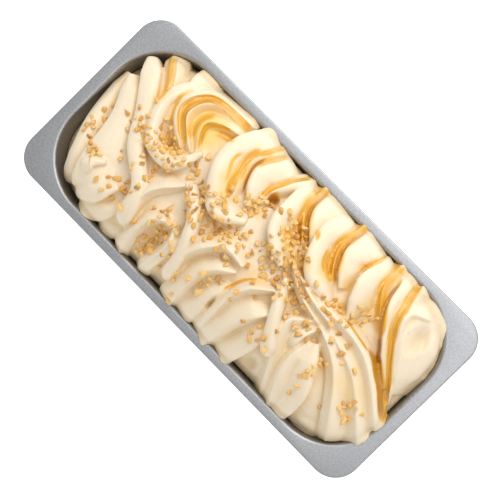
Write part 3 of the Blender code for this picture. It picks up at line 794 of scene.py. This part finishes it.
def paintWashes(points):
    share = np.zeros(len(points))
    for (x0, y0), (halfLong, halfWide), strength in washes.values():
        reach = np.hypot((points[:, 0] - x0) / halfLong, (points[:, 1] - y0) / halfWide)
        share = np.maximum(share, strength * smoothStep(caramel["core"] * (1 - reach)))
    return share


# The cream's surface: what the spatula has left on it, as shape, and its finish

creamSurface = {
    "dragHeight": 0.38,
    "dragAcross": 4.5,
    "dragAlong": 60.0,
    "swellHeight": 0.5,
    "swellSize": 22.0,
    "gridReach": 200,
    "gridCell": 2,
    "gridWindow": 5,
    # the painted shade in sunk places: where it starts, and the depth at which it is full
    "hollowShadeShare": 0.25,
    "hollowShadeDepth": 5.0,
    "shownFrom": 1.0,
    "shownOver": 3.0,
}


def readHollows(points):
    # How far each point lies below the average height of the surface round it; this sets where the cream
    # gets painted shade
    look = creamSurface
    cells = ((points[:, :2] + look["gridReach"]) / look["gridCell"]).astype(int)
    count = 2 * look["gridReach"] // look["gridCell"]
    heights = np.full((count, count), panHeight, float)
    np.maximum.at(heights, (cells[:, 0], cells[:, 1]), points[:, 2])
    window = np.ones(look["gridWindow"]) / look["gridWindow"]
    for axis in (0, 1, 0, 1):  # twice each way, so that the average is a round one
        heights = np.apply_along_axis(np.convolve, axis, heights, window, "same")
    return heights[cells[:, 0], cells[:, 1]] - points[:, 2]


def carveSurface(mesh):
    # Spatula drag along each fold, slow swells, and the caramel's sunk ribbons and lines
    points = pointsOf(mesh)
    flow = readFlow(points)
    ribbon, stream, lean = paintLines(points, ribbons)
    line = paintLines(points, darkLines)[0]
    wash = paintWashes(points)
    look = creamSurface
    # Painted shade: the sunk places get darker, warmer cream
    hollow = smoothStep(look["hollowShadeShare"] + readHollows(points) / look["hollowShadeDepth"])
    normals = np.empty(len(points) * 3, np.float32)
    mesh.vertex_normals.foreach_get("vector", normals)
    normals = normals.reshape(-1, 3).astype(float)
    shown = smoothStep((points[:, 2] - panHeight - look["shownFrom"]) / look["shownOver"])
    lift = np.zeros(len(points))
    for index in np.flatnonzero(shown > 0):
        across, along, number = flow[index]
        drag = noise.noise((across / look["dragAcross"], along / look["dragAlong"], number))
        swell = noise.noise(points[index] / look["swellSize"])
        lift[index] = look["dragHeight"] * drag + look["swellHeight"] * swell
    lift -= caramel["ribbonSink"] * ribbon + caramel["lineSink"] * line
    setPoints(mesh, points + normals * (lift * shown)[:, None])
    setAttribute(mesh, "flow", "FLOAT_VECTOR", flow)
    setAttribute(mesh, "stream", "FLOAT_VECTOR", stream)
    setAttribute(mesh, "ribbon", "FLOAT", ribbon)
    setAttribute(mesh, "line", "FLOAT", line)
    setAttribute(mesh, "lean", "FLOAT", caramel["lean"] * lean)
    setAttribute(mesh, "wash", "FLOAT", wash)
    setAttribute(mesh, "hollow", "FLOAT", hollow)


creamColours = {
    "cream": (0.900, 0.775, 0.600, 1),
    "richCream": (0.885, 0.735, 0.500, 1),
    # painted shade for the hollows, darker and warmer than the cream
    "paintedHollowShade": (0.800, 0.580, 0.290, 1),
    "paleCaramel": (0.885, 0.600, 0.165, 1),
    "caramel": (0.825, 0.440, 0.036, 1),
    "deepCaramel": (0.680, 0.300, 0.014, 1),
    # deeper caramel with painted crease shade, for the dark lines
    "caramelWithCreaseShade": (0.520, 0.225, 0.012, 1),
}


def creamFinish():
    finish = Finish("gelatoCream")
    tone = creamColours
    place = finish.place()
    flow = finish.attribute("flow", "Vector")
    stream = finish.attribute("stream", "Vector")
    ribbon = finish.attribute("ribbon")
    line = finish.attribute("line")
    lean = finish.attribute("lean")
    wash = finish.attribute("wash")
    hollow = finish.attribute("hollow")
    cloud = finish.noise(place, 40.0, 3.0, 0.55)
    speckle = finish.noise(place, 900.0, 3.0, 0.65)
    drag = finish.noise(finish.stretched(flow, (0.8, 0.03, 1.0)), 1.0, 3.0, 0.6)
    streaks = finish.noise(finish.stretched(stream, (0.42, 0.022, 1.0)), 1.0, 4.0, 0.65)
    threads = finish.noise(finish.stretched(stream, (1.5, 0.05, 1.0)), 1.0, 2.0, 0.5)
    cream = finish.mix(tone["cream"], tone["richCream"], cloud * 0.7 + drag * 0.3)
    thick = ribbon * (streaks * 1.3 + threads * 0.5 + lean - 0.32) + line * 0.3
    syrup = finish.ramp(thick, (
        (0.0, tone["paleCaramel"]),
        (0.38, tone["caramel"]),
        (0.9, tone["deepCaramel"]),
    ))
    # Painted shade: darker, warmer cream where the surface lies below its surroundings
    cream = finish.mix(cream, tone["paintedHollowShade"], hollow * (0.35 + drag * 0.5))
    tinted = finish.mix(cream, tone["paleCaramel"], wash * (0.3 + cloud * 0.6 + drag * 0.4))
    covered = finish.node("MapRange", {"interpolation_type": "SMOOTHSTEP"},
                          {"Value": thick, "From Min": 0.06, "From Max": 0.5})
    coloured = finish.mix(tinted, syrup, covered)
    # The dark lines: deeper caramel with painted shade in the creases
    coloured = finish.mix(coloured, tone["caramelWithCreaseShade"], line * (0.6 + threads * 0.5))
    finish.surface(
        Base_Color=coloured,
        Roughness=0.52 - covered * 0.24 + speckle * 0.08,
        Specular_IOR_Level=0.8,
        Coat_Weight=covered * 0.3,
        Coat_Roughness=0.12,
        Subsurface_Weight=0.12,
        Subsurface_Radius=(1.0, 0.6, 0.3),
        Subsurface_Scale=0.004,
        Normal=finish.bump(drag * 0.7 + speckle * 0.4 + threads * ribbon * 0.4, 0.45, 0.0006),
    )
    return finish


def buildGelato():
    meshes = [coreMesh()] + [foldMesh(name, row) for name, row in folds.items()]
    gelato = looseObject("gelatoFolds", joinMeshes("gelatoFolds", meshes))
    applied(gelato, "REMESH", mode="VOXEL", voxel_size=mound["voxel"] * mm)
    keepLargestShell(gelato.data)
    setPoints(gelato.data, pressHollows(pointsOf(gelato.data)))
    applied(gelato, "SMOOTH", factor=mound["smoothFactor"], iterations=mound["smoothings"])
    panSpace = looseObject("panSpace", panSpaceMesh())
    bpy.context.view_layer.update()
    applied(gelato, "BOOLEAN", operation="DIFFERENCE", object=panSpace, solver="MANIFOLD")
    bpy.data.objects.remove(panSpace, do_unlink=True)
    keepLargestShell(gelato.data)
    thinGelato(gelato)
    carveSurface(gelato.data)
    gelato.data.shade_smooth()
    mesh = gelato.data
    bpy.data.objects.remove(gelato, do_unlink=True)
    print("gelato:", countTriangles(mesh), "triangles kept")
    return addPiece("gelatoFolds", mesh, creamFinish(), "gelato_cream", "gelato")


def countTriangles(mesh):
    return sum(len(face.vertices) - 2 for face in mesh.polygons)


def thinned(gelato, chosen, wanted):
    # Takes faces from the chosen points until the whole has no more than wanted
    group = gelato.vertex_groups.new(name="chosen")
    group.add([int(index) for index in np.flatnonzero(chosen)], 1.0, "REPLACE")
    ratio = min(wanted / countTriangles(gelato.data), 1.0)
    applied(gelato, "DECIMATE", ratio=ratio, vertex_group="chosen", use_collapse_triangulate=True)
    gelato.vertex_groups.clear()


def thinGelato(gelato):
    # First where the pan hides the gelato, then where it is plain cream, so that the caramel stays fine
    points = pointsOf(gelato.data)
    deep = points[:, 2] < panHeight - mound["hiddenBelow"]
    shown = 2 * np.count_nonzero(~deep)
    print("gelato:", countTriangles(gelato.data), "triangles, of which about", shown, "are seen")
    thinned(gelato, deep, shown + mound["hiddenTriangles"])
    points = pointsOf(gelato.data)
    painted = np.maximum(paintLines(points, ribbons)[0], paintLines(points, darkLines)[0])
    thinned(gelato, painted == 0, mound["triangles"])


# The nuts

nuts = {
    "sizes": (4.0, 9.0, 6.4),
    "skinShare": 0.2,
    "skinFacing": 0.5,
    "corners": 11,
    "cornerReach": (0.8, 1.0),
    "bevel": 0.05,
    "stretch": ((0.95, 1.35), (0.75, 1.0), (0.6, 0.85)),
    "rise": 0.16,
    "gather": 0.7,
    "spacing": 0.3,
    "tries": 40,
    "lowest": 3.0,
    "seed": 23,
}

# Where the nuts have gathered: the middle of each heap, its spread along X and Y, and how many
nutHeaps = {
    "leftEnd": ((-150, -10), (6, 14), 12),
    "broad": ((-131, -30), (4, 3), 7),
    "ridge1": ((-122, 8), (9, 11), 9),
    "ridge1Foot": ((-98, -12), (14, 14), 16),
    "broadHem": ((-95, -42), (14, 5), 9),
    "curl1Mouth": ((-94, 10), (11, 6), 46),
    "betweenCurls": ((-66, 14), (6, 8), 6),
    "ridge2Root": ((-50, 2), (6, 6), 14),
    "middle": ((-22, -5), (14, 8), 54),
    "curl2Foot": ((-34, 14), (4, 4), 9),
    "curl2Mouth": ((-14, 27), (5, 5), 14),
    "recess": ((-52, -32), (6, 5), 16),
    "recessFoot": ((-54, -54), (5, 6), 16),
    "lobe4": ((-34, -42), (3, 8), 4),
    "ridge2Foot": ((-18, -54), (14, 12), 6),
    "lobe6": ((6, -34), (14, 12), 8),
    "curl3Inside": ((28, 24), (9, 9), 40),
    "curl3Foot": ((26, 8), (11, 6), 22),
    "curl3Rim": ((9, 38), (4, 3), 4),
    "twist": ((46, 4), (10, 7), 26),
    "twistEnd": ((82, 14), (10, 5), 14),
    "lobe11": ((70, -12), (12, 5), 8),
    "ridge3": ((54, -36), (6, 10), 6),
    "lobe13": ((100, -30), (3, 9), 12),
    "fan": ((138, -32), (9, 8), 12),
    "fanTop": ((112, -3), (12, 4), 5),
    "curl5Foot": ((102, 26), (7, 6), 9),
    "everywhere": ((0, -8), (80, 24), 10),
}


def randomDirection(rng):
    return Vector([rng.gauss(0, 1) for _ in range(3)]).normalized()


def nutMesh(size, rng):
    # A chip: the hull of random points on a ball, stretched
    shape = bmesh.new()
    for _ in range(nuts["corners"]):
        shape.verts.new(randomDirection(rng) * rng.uniform(*nuts["cornerReach"]) * size / 2)
    hull = bmesh.ops.convex_hull(shape, input=shape.verts)
    leftOver = hull["geom_interior"] + hull["geom_unused"]
    spare = {item for item in leftOver if isinstance(item, bmesh.types.BMVert)}
    bmesh.ops.delete(shape, geom=list(spare), context="VERTS")
    stretch = Vector([rng.uniform(*limits) for limits in nuts["stretch"]])
    bmesh.ops.scale(shape, vec=stretch, verts=shape.verts)
    bmesh.ops.bevel(shape, geom=shape.edges[:], offset=size * nuts["bevel"], segments=1, affect="EDGES")
    bmesh.ops.triangulate(shape, faces=shape.faces[:])
    bmesh.ops.recalc_face_normals(shape, faces=shape.faces)
    mesh = bpy.data.meshes.new("nut")
    shape.to_mesh(mesh)
    shape.free()
    return mesh


nutColours = {
    "palest": (0.90, 0.65, 0.29, 1),
    "flesh": (0.86, 0.54, 0.17, 1),
    "toasted": (0.74, 0.40, 0.09, 1),
    "darkest": (0.50, 0.23, 0.04, 1),
    "skin": (0.40, 0.17, 0.045, 1),
}


def nutFinish():
    finish = Finish("toastedNut")
    place = finish.place()
    tone = finish.attribute("tone")
    skin = finish.attribute("skin")
    mottle = finish.noise(place, 700.0, 3.0, 0.6)
    flesh = finish.ramp(tone * 0.75 + mottle * 0.3, (
        (0.0, nutColours["palest"]),
        (0.5, nutColours["flesh"]),
        (0.85, nutColours["toasted"]),
        (1.0, nutColours["darkest"]),
    ))
    colour = finish.mix(flesh, nutColours["skin"], skin * 0.6)
    finish.surface(
        Base_Color=colour,
        Roughness=0.42 + mottle * 0.2,
        Normal=finish.bump(mottle, 0.5, 0.0004),
    )
    return finish


def nutPlace(middle, spread, size, placed, rng):
    # A free place in a heap, or none after enough tries
    for _ in range(nuts["tries"]):
        x = rng.gauss(middle[0], nuts["gather"] * spread[0])
        y = rng.gauss(middle[1], nuts["gather"] * spread[1])
        if all(math.hypot(x - a, y - b) > nuts["spacing"] * (size + other) for a, b, other in placed):
            return x, y
    return None


def buildNuts(gelato):
    rng = random.Random(nuts["seed"])
    surface = BVHTree.FromPolygons([vert.co for vert in gelato.data.vertices],
                                   [face.vertices for face in gelato.data.polygons])
    heaps = [(middle, spread) for middle, spread, count in nutHeaps.values() for _ in range(count)]
    placed = []
    tones = []
    skins = []
    shape = bmesh.new()
    for middle, spread in heaps:
        size = rng.triangular(*nuts["sizes"])
        place = nutPlace(middle, spread, size, placed, rng)
        if place is None:
            continue
        hit, normal, _, _ = surface.ray_cast(Vector((*place, 2 * panHeight)) * mm, Vector((0, 0, -1)))
        if hit is None or hit.z < (panHeight + nuts["lowest"]) * mm:
            continue
        placed.append((*place, size))
        mesh = nutMesh(size * mm, rng)
        turn = randomDirection(rng).to_track_quat("X", "Z").to_matrix().to_4x4()
        turn.translation = hit + normal * size * nuts["rise"] * mm
        mesh.transform(turn)
        tones += [rng.random()] * len(mesh.polygons)
        side = randomDirection(rng)
        hasSkin = rng.random() < nuts["skinShare"]
        skins += [float(hasSkin and face.normal.dot(side) > nuts["skinFacing"]) for face in mesh.polygons]
        shape.from_mesh(mesh)
        bpy.data.meshes.remove(mesh)
    chips = bpy.data.meshes.new("choppedNuts")
    shape.to_mesh(chips)
    shape.free()
    setAttribute(chips, "tone", "FLOAT", tones, "FACE")
    setAttribute(chips, "skin", "FLOAT", skins, "FACE")
    addPiece("choppedNuts", chips, nutFinish(), "chopped_nuts")
    print("nuts:", len(placed), "chips,", len(chips.polygons), "triangles")


# The studio

studio = {
    "floorSize": 6.0,
    "floorGlow": 0.9,
    "skyStrength": 0.62,
    "lamps": {
        "key": {"place": (-0.15, 0.85, 1.10), "aim": (0, 0, 0.13), "size": 0.7, "power": 8.0},
        "softBox": {"place": (0.38, 0.25, 1.25), "aim": (0, 0, 0.13), "size": 0.6, "power": 2.6},
    },
}

# Set so that the pan's rim lies where it does in the photo
camera = {
    "lens": 72.0,
    "sensor": 36.0,
    "place": (56.98, 25.22, 888.12),
    "turn": (1.483, 4.121, 45.455),
}


def buildStudio():
    half = studio["floorSize"] / 2
    corners = [(-half, -half, 0), (half, -half, 0), (half, half, 0), (-half, half, 0)]
    mesh = bpy.data.meshes.new("studioFloor")
    mesh.from_pydata(corners, [], [(0, 1, 2, 3)])
    floor = looseObject("studioFloor", mesh)
    finish = Finish("whiteFloor")
    finish.surface(Base_Color=grey(0.8), Roughness=0.9, Emission_Color=grey(1.0),
                   Emission_Strength=studio["floorGlow"])
    mesh.materials.append(finish.material)
    world = bpy.data.worlds.new("softSky")
    bpy.context.scene.world = world
    world.use_nodes = True
    sky = world.node_tree.nodes["Background"]
    sky.inputs["Color"].default_value = grey(1.0)
    sky.inputs["Strength"].default_value = studio["skyStrength"]
    for name, lamp in studio["lamps"].items():
        light = bpy.data.lights.new(name, "AREA")
        light.size = lamp["size"]
        light.energy = lamp["power"]
        holder = looseObject(name, light)
        holder.location = lamp["place"]
        towards = Vector(lamp["aim"]) - Vector(lamp["place"])
        holder.rotation_euler = towards.to_track_quat("-Z", "Y").to_euler()


def buildCamera():
    lens = bpy.data.cameras.new("view")
    lens.lens = camera["lens"]
    lens.sensor_width = camera["sensor"]
    lens.clip_start = 0.01
    holder = looseObject("view", lens)
    holder.location = Vector(camera["place"]) * mm
    holder.rotation_euler = [math.radians(turn) for turn in camera["turn"]]
    bpy.context.scene.camera = holder
    bpy.context.scene.view_settings.view_transform = "Standard"


buildCamera()
buildStudio()
buildPan()
buildNuts(buildGelato())

print("done")
